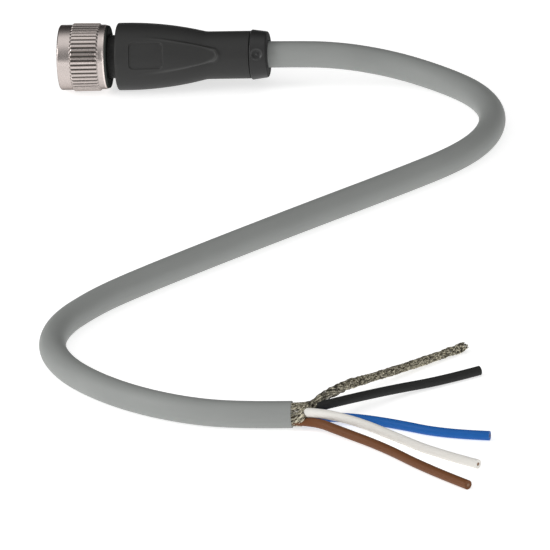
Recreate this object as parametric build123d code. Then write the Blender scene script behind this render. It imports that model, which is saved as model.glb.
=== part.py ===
from build123d import *
import math
import os

os.makedirs("parts", exist_ok=True)

# A shielded cordset: a straight female M12 connector, its cable and the fanned wires at the cut end.
# Millimetres. The connector's axis runs along X, its mating face looks towards -X,
# and the cordset lies on the plane Z = 0.

# Fits
fit_gap = 0.1  # between pieces that are pressed or moulded together
stop_gap = 0.2  # between the coupling nut and its end stops
running_gap = 0.22  # between the nut's flange and the neck it turns on

# Mating face, as the M12 standard gives it
thread_radius = 6.0
insert_radius = 4.2
contact_circle_radius = 2.5
pin_bore_radius = 0.52
key_width = 1.1
key_depth = 0.75

# Contact carrier
insert_setback = 0.6
insert_length = 5.8
carrier_shoulder_radius = 4.95
carrier_shoulder_length = 0.75
carrier_tail_radius = 3.55
carrier_tail_length = 6.45

# Socket contacts
contact_radius = 0.7
contact_setback = 0.9
pin_bore_depth = 5.0
slit_width = 0.2
slit_length = 3.6
cup_length = 2.2
cup_depth = 2.0

# Front seal and its seat on the insert
seal_section_radius = 0.55
seal_seat_depth = 0.2
seal_gap = 0.05

# Shield sleeve and the ring that crimps the braid on it
sleeve_collar_length = 1.25
collar_catch = 0.4
neck_radius = 4.73
neck_step = 0.05
sleeve_tail_radius = 4.1
sleeve_tail_length = 6.3
ferrule_length = 3.0
ferrule_wall = 0.35
ferrule_setback = 0.2

# Spring ring that joins the nut to the shield
ring_width = 0.6
ring_thickness = 0.6
ring_opening = 1.4
ring_gap = 0.12

# Coupling nut
nut_flange_length = 1.8
nut_band_radius = 7.15
nut_band_length = 2.85
nut_rim_radius = 7.08
nut_rim_length = 1.45
nut_edge_bevel = 0.3
nut_cone_length = 0.45
nut_float = 1.6
thread_bevel = 0.35
knurl_height = 0.35
knurl_bevel = 0.3
knurl_count = 48
knurl_groove_width = 0.5

# Grip, with its strain relief, raised pads and label panel
grip_radius = 7.4
grip_edge_bevel = 0.3
grip_straight_length = 2.0
grip_taper_length = 19.6
relief_radius = 5.23
relief_length = 9.95
pad_start = 1.2
pad_length = 22.2
pad_half_width = 4.8
pad_waist_length = 13.0
pad_waist_half_width = 3.7
pad_nose_radius = 2.1
pad_arc_radius = 140.0
pad_tilt = 22.0  # degrees above the horizontal
label_centre = 6.95
label_length = 7.4
label_width = 5.5
label_corner_radius = 0.9
label_depth = 0.3

# Inner mould and its visible collar
collar_length = 3.85
collar_lip_height = 0.27
collar_taper = 0.13
collar_bevel = 0.25
gate_setback = 1.7
gate_radius = 1.2
gate_depth = 0.4
mould_front_length = 10.0
mould_taper_length = 3.5

# Cable and cores
jacket_radius = 2.9
jacket_wall = 0.32
jacket_grip_length = 11.1
braid_wall = 0.1
braid_ring_length = 1.5
pigtail_radius = 1.0
core_radius = 0.92
core_circle_radius = 1.35
conductor_radius = 0.36
strip_length = 0.5
floor_gap = 0.1

# Radii that follow from the ones above
knurl_radius = nut_band_radius + knurl_height
axis_z = knurl_radius
seal_seat_radius = insert_radius - seal_seat_depth
flange_bore_radius = neck_radius + running_gap
sleeve_collar_radius = flange_bore_radius + collar_catch
sleeve_body_radius = neck_radius - neck_step
sleeve_bore_radius = carrier_tail_radius + fit_gap
contact_hole_radius = contact_radius + fit_gap
conductor_hole_radius = conductor_radius + fit_gap
ring_inner_radius = neck_radius + ring_gap
ring_outer_radius = ring_inner_radius + ring_thickness
jacket_bore_radius = jacket_radius - jacket_wall
braid_radius = jacket_bore_radius - braid_wall - fit_gap
braid_crimp_radius = sleeve_tail_radius + fit_gap
ferrule_bore_radius = braid_crimp_radius + braid_wall + fit_gap
ferrule_radius = ferrule_bore_radius + ferrule_wall
chamber_radius = ferrule_radius + fit_gap
mould_bore_radius = jacket_radius + fit_gap
mould_front_radius = chamber_radius - fit_gap
mould_rear_radius = (mould_bore_radius + relief_radius) / 2
collar_lip_radius = relief_radius + collar_lip_height
collar_end_radius = relief_radius - collar_taper

# Stations along the axis, from the mating face to the cable exit
nut_length = (
    insert_setback + insert_length + carrier_shoulder_length + fit_gap
    + sleeve_collar_length + stop_gap + nut_flange_length
)
connector_length = (
    nut_length + nut_cone_length + nut_float + stop_gap
    + grip_taper_length + relief_length + collar_length
)
front_x = -connector_length / 2
insert_face_x = front_x + insert_setback
insert_base_x = insert_face_x + insert_length
seal_seat_x = insert_base_x - 2 * (seal_section_radius + seal_gap)
shoulder_rear_x = insert_base_x + carrier_shoulder_length
carrier_end_x = shoulder_rear_x + carrier_tail_length
contact_face_x = insert_face_x + contact_setback
cup_end_x = carrier_end_x + cup_length
cup_floor_x = cup_end_x - cup_depth
sleeve_front_x = shoulder_rear_x + fit_gap
sleeve_collar_x = sleeve_front_x + sleeve_collar_length
flange_front_x = sleeve_collar_x + stop_gap
nut_rear_x = front_x + nut_length
nut_tip_x = nut_rear_x + nut_cone_length
ring_centre_x = flange_front_x + nut_flange_length / 2
neck_front_x = nut_tip_x + stop_gap
sleeve_end_x = neck_front_x + sleeve_tail_length
ferrule_rear_x = sleeve_end_x - ferrule_setback
ferrule_front_x = ferrule_rear_x - ferrule_length
braid_front_x = ferrule_front_x - stop_gap
chamber_front_x = braid_front_x - stop_gap
flare_start_x = sleeve_end_x + stop_gap
mould_front_x = flare_start_x + stop_gap
mould_waist_x = mould_front_x + mould_front_length
mould_slim_x = mould_waist_x + mould_taper_length
grip_front_x = nut_tip_x + nut_float + stop_gap
taper_end_x = grip_front_x + grip_taper_length
collar_front_x = taper_end_x + relief_length
rear_x = collar_front_x + collar_length
jacket_start_x = rear_x - jacket_grip_length
flare_end_x = jacket_start_x - stop_gap

# Cable route, from inside the collar to the cut end, as steps in X and Y from the cable exit and heights
lying_z = jacket_radius
cable_route = [
    (-jacket_grip_length, 0.0, axis_z),
    (1.9, 0.0, axis_z),
    (14.7, 0.1, 7.2),
    (26.9, 0.0, 4.9),
    (38.4, -5.0, 3.1),
    (47.7, -14.3, lying_z),
    (52.7, -26.1, lying_z),
    (52.6, -39.0, lying_z),
    (47.5, -50.8, lying_z),
    (36.0, -64.1, lying_z),
    (17.9, -83.7, lying_z),
    (-0.6, -104.4, lying_z),
    (-15.6, -122.0, lying_z),
    (-22.1, -131.1, lying_z),
    (-27.8, -142.9, lying_z),
    (-28.3, -155.5, lying_z),
    (-23.6, -167.2, lying_z),
    (-15.8, -177.0, lying_z),
    (-5.5, -185.7, lying_z),
    (6.8, -192.2, lying_z),
    (18.2, -194.7, lying_z),
    (28.9, -194.7, lying_z),
]
route = [Vector(rear_x + x, y, z) for x, y, z in cable_route]
cut_end = route[-1]

# Fanned wires, as steps in X and Y from the middle of the cut end and heights
core_z = core_radius + floor_gap
pigtail_z = pigtail_radius + floor_gap
core_step = core_circle_radius / math.sqrt(2)
upper_z = lying_z + core_step
lower_z = lying_z - core_step
fan_out = {
    "brown": [(4.3, -1.0, lower_z), (11.1, -5.2, 1.4), (21.2, -13.9, core_z),
              (31.7, -26.6, core_z), (41.6, -36.0, core_z)],
    "white": [(4.4, -0.9, upper_z + 0.1), (13.5, -2.7, 2.7), (22.6, -7.4, core_z),
              (32.2, -16.8, core_z), (42.2, -23.6, core_z)],
    "blue": [(4.3, core_step, lower_z), (12.6, 2.4, 1.3), (21.7, -1.7, core_z),
             (33.2, -7.6, core_z), (43.1, -8.8, core_z)],
    "black": [(4.4, core_step, upper_z + 0.05), (9.7, 5.1, 3.6), (19.4, 16.0, 1.7),
              (29.1, 23.5, core_z), (36.7, 27.7, core_z)],
}
pigtail_fan = [(0.2, 2.95, 3.6), (4.1, 6.5, 3.8), (9.2, 14.8, 3.0), (16.6, 26.6, 1.7),
               (24.9, 35.0, pigtail_z), (32.2, 42.1, pigtail_z)]

# Place of each core: its contact, where it crosses inside the mould, and its lay in the cable,
# as signs or steps in Y and Z from the axis
core_lay = {"brown": (-1, -1), "white": (-1, 1), "blue": (1, -1), "black": (1, 1)}
contact_place = {"brown": (-1, 1), "white": (-1, -1), "blue": (1, -1), "black": (1, 1)}
crossing_places = {"brown": [(0.0, 0.15), (-0.7, -1.15)], "white": [(-2.45, 0.0), (-1.55, 1.25)]}
fan_in_start = 3.6  # from the solder cups to where the cores leave the contact circle
fan_in_length = 13.0

pad_direction = Vector(0, -math.cos(math.radians(pad_tilt)), math.sin(math.radians(pad_tilt)))


def turned(points):
    """A solid of revolution about the X axis, from the (x, radius) corners of its half section."""
    return revolve(make_face(Polyline(*points, close=True)), Axis.X)


def ring(x_start, x_end, inner, outer):
    """A plain ring or sleeve about the X axis."""
    return turned([(x_start, inner), (x_end, inner), (x_end, outer), (x_start, outer)])


def arc_drop(radius, run):
    """How far an arc that starts level falls over a run along the axis."""
    return radius - math.sqrt(radius**2 - run**2)


def bend_radii(points):
    """The largest bend at each corner of a route: 0.45 of the shorter run over the tangent of half the turn."""
    radii = []
    for before, corner, after in zip(points, points[1:], points[2:]):
        arriving = corner - before
        leaving = after - corner
        half_turn = math.radians(arriving.get_angle(leaving)) / 2
        radii.append(0.45 * min(arriving.length, leaving.length) / math.tan(half_turn))
    return radii


def tube(points, radii, outer, inner=0.0):
    """A round tube, or a rod where inner is 0, along straight runs joined by tangent arcs."""
    path = FilletPolyline(*points, radius=radii)
    section = Circle(outer)
    if inner > 0:
        section = section - Circle(inner)
    return sweep(Plane(origin=points[0], z_dir=path % 0) * section, path=path)


def beside_route(side, up):
    """The inner corners of the cable's route, moved to its left by side and raised by up."""
    corners = []
    for before, corner, after in zip(route, route[1:], route[2:]):
        arriving = Vector(corner.X - before.X, corner.Y - before.Y).normalized()
        leaving = Vector(after.X - corner.X, after.Y - corner.Y).normalized()
        ahead = (arriving + leaving).normalized()
        mitre = side / ahead.dot(arriving)
        corners.append(corner + Vector(-ahead.Y * mitre, ahead.X * mitre, up))
    return corners


def coupling_nut():
    """Nickel-plated nut: smooth front band, straight knurl, rear rim and an inner flange with a ring groove."""
    band_end_x = front_x + nut_band_length
    rim_start_x = nut_rear_x - nut_rim_length
    nut = turned([
        (front_x, thread_radius + thread_bevel),
        (front_x, nut_band_radius - nut_edge_bevel),
        (front_x + nut_edge_bevel, nut_band_radius),
        (band_end_x, nut_band_radius),
        (band_end_x + knurl_bevel, knurl_radius),
        (rim_start_x - knurl_bevel, knurl_radius),
        (rim_start_x, nut_rim_radius),
        (nut_rear_x - nut_edge_bevel, nut_rim_radius),
        (nut_rear_x, nut_rim_radius - nut_edge_bevel),
        (nut_tip_x, flange_bore_radius),
        (flange_front_x, flange_bore_radius),
        (flange_front_x, thread_radius),
        (front_x + thread_bevel, thread_radius),
    ])
    half_groove = ring_width / 2 + fit_gap
    nut -= ring(ring_centre_x - half_groove, ring_centre_x + half_groove,
                ring_inner_radius, ring_outer_radius + fit_gap)
    groove_section = Plane(origin=(band_end_x, 0, 0), x_dir=(0, 1, 0), z_dir=(1, 0, 0)) * Polygon(
        (0, nut_band_radius), (knurl_groove_width, knurl_radius + knurl_height),
        (-knurl_groove_width, knurl_radius + knurl_height), align=None)
    groove = extrude(groove_section, rim_start_x - band_end_x)
    return nut - [Rot(X=360 * (k + 0.5) / knurl_count) * groove for k in range(knurl_count)]


def shield_spring():
    """Open spring ring that sits in the nut's groove and slides with it."""
    body = ring(ring_centre_x - ring_width / 2, ring_centre_x + ring_width / 2,
                ring_inner_radius, ring_outer_radius)
    opening = Pos(ring_centre_x, 0, ring_outer_radius) * Box(2 * ring_width, ring_opening, ring_outer_radius)
    return body - opening


def contact_spots(places):
    """Places on the contact circle from their signs in Y and Z."""
    step = contact_circle_radius / math.sqrt(2)
    return {colour: (step * y, step * z) for colour, (y, z) in places.items()}


def contact_carrier():
    """Moulded female insert with a keyway, four contact chambers, a shoulder and a tail."""
    carrier = turned([
        (insert_face_x, 0), (insert_face_x, insert_radius), (seal_seat_x, insert_radius),
        (seal_seat_x, seal_seat_radius), (insert_base_x, seal_seat_radius),
        (insert_base_x, carrier_shoulder_radius), (shoulder_rear_x, carrier_shoulder_radius),
        (shoulder_rear_x, carrier_tail_radius), (carrier_end_x, carrier_tail_radius), (carrier_end_x, 0),
    ])
    pin_entry_radius = pin_bore_radius + fit_gap
    for y, z in contact_spots(contact_place).values():
        chamber = ring(contact_face_x - fit_gap, carrier_end_x, 0, contact_hole_radius)
        entry = ring(insert_face_x, contact_face_x, 0, pin_entry_radius)
        carrier -= Pos(0, y, z) * (chamber + entry)
    keyway = Pos((insert_face_x + insert_base_x) / 2, -insert_radius, 0) * Box(
        insert_length, 2 * key_depth, key_width)
    return carrier - keyway


def socket_contact():
    """Turned socket with a slit pin bore at the front and a solder cup at the back, on its own axis."""
    body = ring(contact_face_x, cup_end_x, 0, contact_radius)
    body -= ring(contact_face_x, contact_face_x + pin_bore_depth, 0, pin_bore_radius)
    body -= ring(cup_floor_x, cup_end_x, 0, conductor_hole_radius)
    slit = Pos(contact_face_x + slit_length / 2, 0, 0) * Box(slit_length, 4 * contact_radius, slit_width)
    return body - slit


def front_seal():
    """O-ring in its seat in front of the carrier's shoulder."""
    seal_x = (seal_seat_x + insert_base_x) / 2
    section = Pos(seal_x, seal_seat_radius + seal_gap + seal_section_radius) * Circle(seal_section_radius)
    return revolve(section, Axis.X)


def shield_sleeve():
    """Turned metal sleeve: a collar that holds the nut back, a body for the spring ring and a crimp tail."""
    return turned([
        (sleeve_front_x, sleeve_bore_radius), (sleeve_front_x, sleeve_collar_radius),
        (sleeve_collar_x, sleeve_collar_radius), (sleeve_collar_x, sleeve_body_radius),
        (neck_front_x, sleeve_body_radius), (neck_front_x, sleeve_tail_radius),
        (sleeve_end_x, sleeve_tail_radius), (sleeve_end_x, sleeve_bore_radius),
    ])


def flare_radius(x):
    """Inside radius of the braid where it widens from the cable to the sleeve's tail."""
    share = (x - flare_start_x) / (flare_end_x - flare_start_x)
    return braid_crimp_radius + share * (braid_radius - braid_crimp_radius)


def inner_mould():
    """First moulding, round the braid and the cable, whose rear collar shows behind the grip."""
    taper_length = collar_length - collar_bevel
    mould = turned([
        (mould_front_x, flare_radius(mould_front_x) + braid_wall + fit_gap),
        (mould_front_x, mould_front_radius),
        (mould_waist_x, mould_front_radius),
        (mould_slim_x, mould_rear_radius),
        (collar_front_x, mould_rear_radius),
        (collar_front_x, collar_lip_radius - collar_bevel),
        (collar_front_x + collar_bevel, collar_lip_radius),
        (collar_front_x + taper_length, collar_end_radius),
        (rear_x, collar_end_radius - collar_bevel),
        (rear_x, mould_bore_radius),
        (flare_end_x, mould_bore_radius),
        (flare_end_x, braid_radius + braid_wall + fit_gap),
    ])
    ball_radius = (gate_radius**2 + gate_depth**2) / (2 * gate_depth)
    ball_reach = collar_lip_radius - collar_taper - gate_depth + ball_radius
    return mould - Pos(collar_front_x + gate_setback, 0, 0) * Pos(pad_direction * ball_reach) * Sphere(ball_radius)


def pad_core(sink):
    """Solid of revolution up to the pads' outer arc, lowered by sink."""
    reach = pad_start + pad_length
    middle = (grip_straight_length + reach) / 2
    start = (grip_front_x + grip_straight_length, grip_radius - sink)
    via = (grip_front_x + middle,
           grip_radius - sink - arc_drop(pad_arc_radius, middle - grip_straight_length))
    end = (grip_front_x + reach,
           grip_radius - sink - arc_drop(pad_arc_radius, reach - grip_straight_length))
    rest = Polyline(end, (end[0], 0), (grip_front_x, 0), (grip_front_x, start[1]), start)
    return revolve(make_face(ThreePointArc(start, via, end) + rest), Axis.X)


def pad_outline():
    """Outline of a pad: two bowed sides that run from the wide front to a rounded nose."""
    tip_x = pad_start + pad_length
    nose_x = tip_x - pad_nose_radius
    front = (pad_start, pad_half_width)
    waist = (pad_waist_length, pad_waist_half_width)
    nose = (nose_x, pad_nose_radius)
    upper = ThreePointArc(front, waist, nose)
    tip = ThreePointArc(nose, (tip_x, 0), (nose_x, -pad_nose_radius))
    lower = ThreePointArc((nose_x, -pad_nose_radius), (waist[0], -waist[1]), (front[0], -front[1]))
    return make_face(upper + tip + lower + Line((front[0], -front[1]), front))


def grip():
    """Black overmoulding: ogival grip with two raised pads and a label panel, strain relief and front neck."""
    drop = grip_radius - relief_radius
    run = grip_taper_length - grip_straight_length
    ogive_radius = (run**2 + drop**2) / (2 * drop)
    ogive_start_x = grip_front_x + grip_straight_length
    bore_seam_radius = mould_rear_radius + fit_gap
    ogive = ThreePointArc(
        (ogive_start_x, grip_radius),
        (ogive_start_x + run / 2, grip_radius - arc_drop(ogive_radius, run / 2)),
        (taper_end_x, relief_radius))
    rest = Polyline(
        (taper_end_x, relief_radius),
        (collar_front_x - fit_gap, relief_radius),
        (collar_front_x - fit_gap, bore_seam_radius),
        (mould_slim_x, bore_seam_radius),
        (mould_waist_x, chamber_radius),
        (chamber_front_x, chamber_radius),
        (chamber_front_x, braid_crimp_radius),
        (neck_front_x + fit_gap, braid_crimp_radius),
        (neck_front_x + fit_gap, neck_radius),
        (grip_front_x, neck_radius),
        (grip_front_x, grip_radius - grip_edge_bevel),
        (grip_front_x + grip_edge_bevel, grip_radius),
        (ogive_start_x, grip_radius))
    body = revolve(make_face(ogive + rest), Axis.X)
    outer_core = pad_core(0)
    inner_core = turned([(grip_front_x, 0), (grip_front_x, chamber_radius), (mould_waist_x, chamber_radius),
                         (mould_slim_x, bore_seam_radius), (collar_front_x, bore_seam_radius),
                         (collar_front_x, 0)])
    for facing in (pad_direction, -pad_direction):
        face_plane = Plane(origin=(grip_front_x, 0, 0), x_dir=(1, 0, 0), z_dir=facing)
        pad = extrude(face_plane * pad_outline(), 2 * grip_radius) & outer_core
        body += pad - inner_core
    label_plane = Plane(origin=(grip_front_x, 0, 0), x_dir=(1, 0, 0), z_dir=pad_direction)
    panel = label_plane * Pos(label_centre, 0) * RectangleRounded(label_length, label_width, label_corner_radius)
    return body - (extrude(panel, 2 * grip_radius) - pad_core(label_depth))


def crimp_ferrule():
    """Metal ring that clamps the flared braid on the sleeve's tail."""
    return ring(ferrule_front_x, ferrule_rear_x, ferrule_bore_radius, ferrule_radius)


def cable_braid():
    """Shield braid: flared over the sleeve's tail, along the cable, and gathered into a pigtail at the cut end."""
    wall = braid_wall
    flare = turned([
        (braid_front_x, braid_crimp_radius), (braid_front_x, braid_crimp_radius + wall),
        (flare_start_x, braid_crimp_radius + wall), (flare_end_x, braid_radius + wall),
        (jacket_start_x, braid_radius + wall), (jacket_start_x, braid_radius),
        (flare_end_x, braid_radius), (flare_start_x, braid_crimp_radius),
    ])
    points = route[:-1] + [cut_end + Vector(braid_ring_length, 0, 0)]
    in_cable = tube(points, bend_radii(points), braid_radius + wall, braid_radius)
    fan = [Vector(cut_end.X + x, cut_end.Y + y, z) for x, y, z in pigtail_fan]
    return Pos(0, 0, axis_z) * flare + in_cable + tube(fan, bend_radii(fan), pigtail_radius)


def core_route(colour):
    """Corners of one core, from its solder cup through the mould and the cable to its free end."""
    y, z = contact_spots(contact_place)[colour]
    side, up = (core_step * sign for sign in core_lay[colour])
    leave_x = cup_end_x + fan_in_start
    points = [Vector(cup_end_x + strip_length, y, z), Vector(leave_x, y, z)]
    lays = crossing_places.get(colour, []) + [(side, up)]
    points += [Vector(leave_x + fan_in_length * (k + 1) / len(lays), *lay) for k, lay in enumerate(lays)]
    points = [point + Vector(0, 0, axis_z) for point in points]
    points += beside_route(side, up)
    return points + [Vector(cut_end.X + x, cut_end.Y + y, z) for x, y, z in fan_out[colour]]


def save(node, shape):
    export_step(shape, f"parts/{node}.step")


lift = Pos(0, 0, axis_z)
save("coupling_nut", lift * coupling_nut())
save("shield_spring", lift * shield_spring())
save("front_seal", lift * front_seal())
save("contact_carrier", lift * contact_carrier())
save("shield_sleeve", lift * shield_sleeve())
save("crimp_ferrule", lift * crimp_ferrule())
save("inner_mould", lift * inner_mould())
save("grip", lift * grip())
for colour, (y, z) in contact_spots(contact_place).items():
    save(f"contact_{colour}", lift * Pos(0, y, z) * socket_contact())

jacket_radii = bend_radii(route)
print("cable bend radii", [round(radius, 1) for radius in jacket_radii])
jacket = tube(route, jacket_radii, jacket_radius, jacket_bore_radius)
jacket_length = FilletPolyline(*route, radius=jacket_radii).length
ring_area = math.pi * (jacket_radius**2 - jacket_bore_radius**2)
print("cable length", round(jacket_length, 1), "volume over section times length",
      round(jacket.volume / (jacket_length * ring_area), 4))
save("cable_jacket", jacket)
save("cable_braid", cable_braid())
for colour in core_lay:
    points = core_route(colour)
    radii = bend_radii(points)
    print(colour, "bend radii", [round(radius, 1) for radius in radii])
    save(f"core_{colour}", tube(points, radii, core_radius, conductor_hole_radius))
    bare_end = points[0] - Vector(strip_length + cup_depth - fit_gap, 0, 0)
    save(f"conductor_{colour}", tube([bare_end] + points[1:], radii, conductor_radius))
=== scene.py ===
import math

import bmesh
import bpy
import numpy as np
from mathutils import Matrix, Vector


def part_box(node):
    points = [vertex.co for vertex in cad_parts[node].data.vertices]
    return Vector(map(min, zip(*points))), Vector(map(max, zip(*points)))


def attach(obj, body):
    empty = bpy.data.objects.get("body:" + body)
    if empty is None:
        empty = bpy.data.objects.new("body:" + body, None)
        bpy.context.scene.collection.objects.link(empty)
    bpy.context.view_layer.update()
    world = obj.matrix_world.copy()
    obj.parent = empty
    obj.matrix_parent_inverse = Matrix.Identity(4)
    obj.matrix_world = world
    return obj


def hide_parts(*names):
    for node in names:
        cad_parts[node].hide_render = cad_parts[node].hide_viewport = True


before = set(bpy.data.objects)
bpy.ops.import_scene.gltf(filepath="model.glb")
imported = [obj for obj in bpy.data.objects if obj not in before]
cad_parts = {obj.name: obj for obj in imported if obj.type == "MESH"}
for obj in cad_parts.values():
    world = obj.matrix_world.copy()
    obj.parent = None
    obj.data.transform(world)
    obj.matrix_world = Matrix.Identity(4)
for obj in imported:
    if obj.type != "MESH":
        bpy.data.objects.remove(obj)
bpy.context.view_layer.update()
rng = np.random.default_rng(12)

# Sizes in millimetres, as in the solids. Stations along the connector are counted from its mating face.
MM = 0.001
AXIS_Z = 7.5
FRONT_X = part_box("coupling_nut")[0].x / MM
CONNECTOR_END = 46.15
ELSEWHERE = 50.0  # stands for a place far from a mark
FULL_TURN = 2 * math.pi

# Coupling nut
NUT_MOUTH = 6.4
NUT_FRONT_BAND = 7.15
NUT_REAR_RIM = 7.08
NUT_SKIN = 6.9  # what lies further out is the nut's outside
NUT_END = 10.94
BEVEL_MIDDLE = 10.27
BEVEL_HALF = 0.14
KNURL_COUNT = 48
KNURL_START = 2.85
KNURL_END = 9.05
KNURL_HEIGHT = 0.35
KNURL_BEVEL = 0.32
THREAD_RADIUS = 6.0
THREAD_DEPTH = 0.54
THREAD_PITCH = 1.0
THREAD_STEP = 0.09
THREAD_END = 8.2
THREAD_RUNOUT = 0.6
FLANGE_FRONT = 8.7
FLANGE_BORE = 4.95

# Shares of a pitch: the knurl's half groove and its flank, the thread's half width at its root and its flank
GROOVE_HALF = 0.05
RIDGE_FLANK = 0.22
THREAD_ROOT_HALF = 0.4375
THREAD_FLANK = 0.3125

# Grip; stations of the pads and the label are counted from the grip's front
NECK_FRONT = 10.3
NECK_RADIUS = 4.74
GRIP_FRONT = 12.75
GRIP_STRAIGHT = 2.0
GRIP_TAPER = 19.6
GRIP_RADIUS = 7.4
RELIEF_RADIUS = 5.23
FOOT_BLEND = 0.006  # square millimetres that soften the foot of the ogive
PAD_START = 1.2
PAD_WAIST = 13.0
PAD_TIP = 23.4
PAD_NOSE = 2.1
PAD_HALF_WIDTH = 4.8
PAD_WAIST_HALF_WIDTH = 3.7
PAD_ARC = 140.0
PAD_ANGLE = math.radians(180 - 22)
PAD_RAMP = 0.8
NOSE_EXTRA_RAMP = 0.5
NOSE_REACH = 4.5
NOSE_RUN = 4.0
LABEL_CENTRE = 6.95
LABEL_LENGTH = 7.4
LABEL_WIDTH = 5.9
LABEL_CORNER = 0.9
LABEL_DEPTH = 0.3
LABEL_WALL = 0.26

# Inner mould's collar and its gate mark
COLLAR_FRONT = 42.3
COLLAR_LIP = 5.5
COLLAR_END = 5.1
GATE_STATION = 1.7
GATE_RADIUS = 1.2
GATE_DEPTH = 0.4
GATE_STUB = 0.24

# Insert, contacts and seal
INSERT_FACE = 0.6
INSERT_RADIUS = 4.2
KEY_FLOOR = 3.45
KEY_HALF = 0.55
CONTACT_STEP = 2.5 / math.sqrt(2)
CONTACT_FRONT = 1.5
CONTACT_RADIUS = 0.7
CUP_END = 15.8
CUP_RADIUS = 0.46
SEAL_STATION = 5.8
SEAL_RADIUS = 4.6
SEAL_SECTION_RADIUS = 0.55

# Cable, cores and braid
JACKET_RADIUS = 2.9
CORE_RADIUS = 0.92
FREE_CORE_RADIUS = 1.02
CONDUCTOR_RADIUS = 0.36
COPPER_PROUD = 0.04
CORE_STEP = 1.35 / math.sqrt(2)
CUP_TAIL = 0.5
FAN_IN_START = 3.6
FAN_IN_LENGTH = 13.0
BRAID_RADIUS = 2.43
BRAID_GROUPS = 8
GROUP_WIRES = 6
WIRE_SPACING = 0.15  # share of a group's own sector
WIRE_RADIUS = 0.08
WIRE_SIDES = 5
WIRE_POINTS = 96
FLOOR_CLEARANCE = 0.1

# Braid's mouth at the cut end, and its pigtail
MOUTH_BACK = 1.6
MOUTH_REACH = 24.0
MOUTH_TWIST = 1.6  # radians
MOUTH_WEAVES = 22
PIGTAIL_SIDE = math.radians(40)
PIGTAIL_TURNS = 4.2
PIGTAIL_HALF_WIDTH = 1.1
PIGTAIL_HALF_HEIGHT = 0.9

# Shares of a wire's length: where the pigtail's line begins, where it is a free cord, and its uneven ends
LEAVING = 0.12
FREE_FROM = 0.4
UNEVEN_ENDS = 0.022

# The cable's route and the fanned ends, as in the solids, with points moved a little for the view
ROUTE = np.array([
    (12.0, 0.0, 7.5), (25.0, 0.0, 7.5), (37.8, 0.1, 7.2), (49.9, 0.0, 4.9), (61.4, -5.0, 3.1),
    (70.6, -14.3, 2.9), (75.6, -26.1, 2.9), (75.5, -39.0, 2.9), (70.5, -50.8, 2.9), (59.1, -64.1, 2.9),
    (41.0, -83.7, 2.9), (22.5, -104.4, 2.9), (7.5, -122.0, 2.9), (1.0, -131.1, 2.9), (-4.7, -142.9, 2.9),
    (-5.2, -155.5, 2.9), (-0.5, -167.2, 2.9), (7.3, -177.0, 2.9), (17.6, -185.7, 2.9), (29.9, -192.2, 2.9),
    (41.3, -194.7, 2.9), (52.0, -194.7, 2.9),
])
CUT_END = ROUTE[-1]
CUT_FLOOR = np.array([CUT_END[0], CUT_END[1], 0.0])
FAN_OUT = {
    "brown": [(4.3, -1.0, 1.95), (11.1, -6.1, 1.4), (21.2, -14.2, 1.02),
              (31.7, -26.3, 1.02), (41.6, -35.4, 1.02)],
    "white": [(4.4, -0.9, 3.95), (13.5, -3.1, 2.7), (22.6, -8.2, 1.02),
              (32.2, -17.5, 1.02), (42.4, -24.1, 1.02)],
    "blue": [(4.3, 0.95, 1.95), (12.6, 1.6, 1.3), (21.7, -1.2, 1.02),
             (33.2, -7.3, 1.02), (43.1, -8.6, 1.02)],
    "black": [(4.4, 0.95, 3.9), (9.7, 5.4, 3.6), (19.4, 16.0, 1.7),
              (29.1, 22.1, 1.02), (36.7, 27.6, 1.02)],
}
PIGTAIL = [(0.2, 2.95, 4.0), (4.1, 7.4, 5.0), (9.2, 14.0, 3.5),
           (16.6, 24.5, 1.8), (24.9, 33.7, 1.1), (32.2, 41.3, 1.1)]

# Each core's place in the cable, its contact, and the points where it crosses another inside the mould
CORE_LAY = {"brown": (-1, -1), "white": (-1, 1), "blue": (1, -1), "black": (1, 1)}
CONTACT_PLACE = {"brown": (-1, 1), "white": (-1, -1), "blue": (1, -1), "black": (1, 1)}
CROSSING = {"brown": [(0.0, 0.15), (-0.7, -1.15)], "white": [(-2.45, 0.0), (-1.55, 1.25)]}

# Seen from here, as in the photograph: elevation, how far the front end is turned away, the axis's rise,
# the picture's scale in millimetres a pixel and its width, and the pixel where the cable leaves the collar
ELEVATION = math.radians(22)
FRONT_AWAY = math.radians(8)
AXIS_RISE = math.radians(0.8)
PIXEL = 0.219
IMAGE = 550
EXIT_PIXEL = (269.4, 54.4)
EYE_DISTANCE = 5600.0
SENSOR = 36.0

# Studio, in metres
FLOOR_HALF = 3.0
FLOOR_COUNT = 5
FLOOR_DROP = 0.00002
SKY_STOPS = [(0.0, 2.4), (0.05, 1.6), (0.11, 0.7), (0.18, 0.28),
             (0.5, 0.2), (0.74, 0.42), (0.88, 0.98), (1.0, 1.1)]  # upward part of a ray, and brightness


class Value:
    """A shader socket. Arithmetic on it adds Math nodes."""

    def __init__(self, nodes, socket):
        self.nodes = nodes
        self.socket = socket

    def math(self, operation, *others):
        """The result of a Math node whose first value is this one."""
        return self.nodes.node("ShaderNodeMath", {"operation": operation}, self, *others)

    def __add__(self, other):
        return self.math("ADD", other)

    def __mul__(self, other):
        return self.math("MULTIPLY", other)

    def __sub__(self, other):
        return self.math("SUBTRACT", other)

    def __rsub__(self, other):
        return self.nodes.node("ShaderNodeMath", {"operation": "SUBTRACT"}, other, self)

    __radd__ = __add__
    __rmul__ = __mul__


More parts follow.
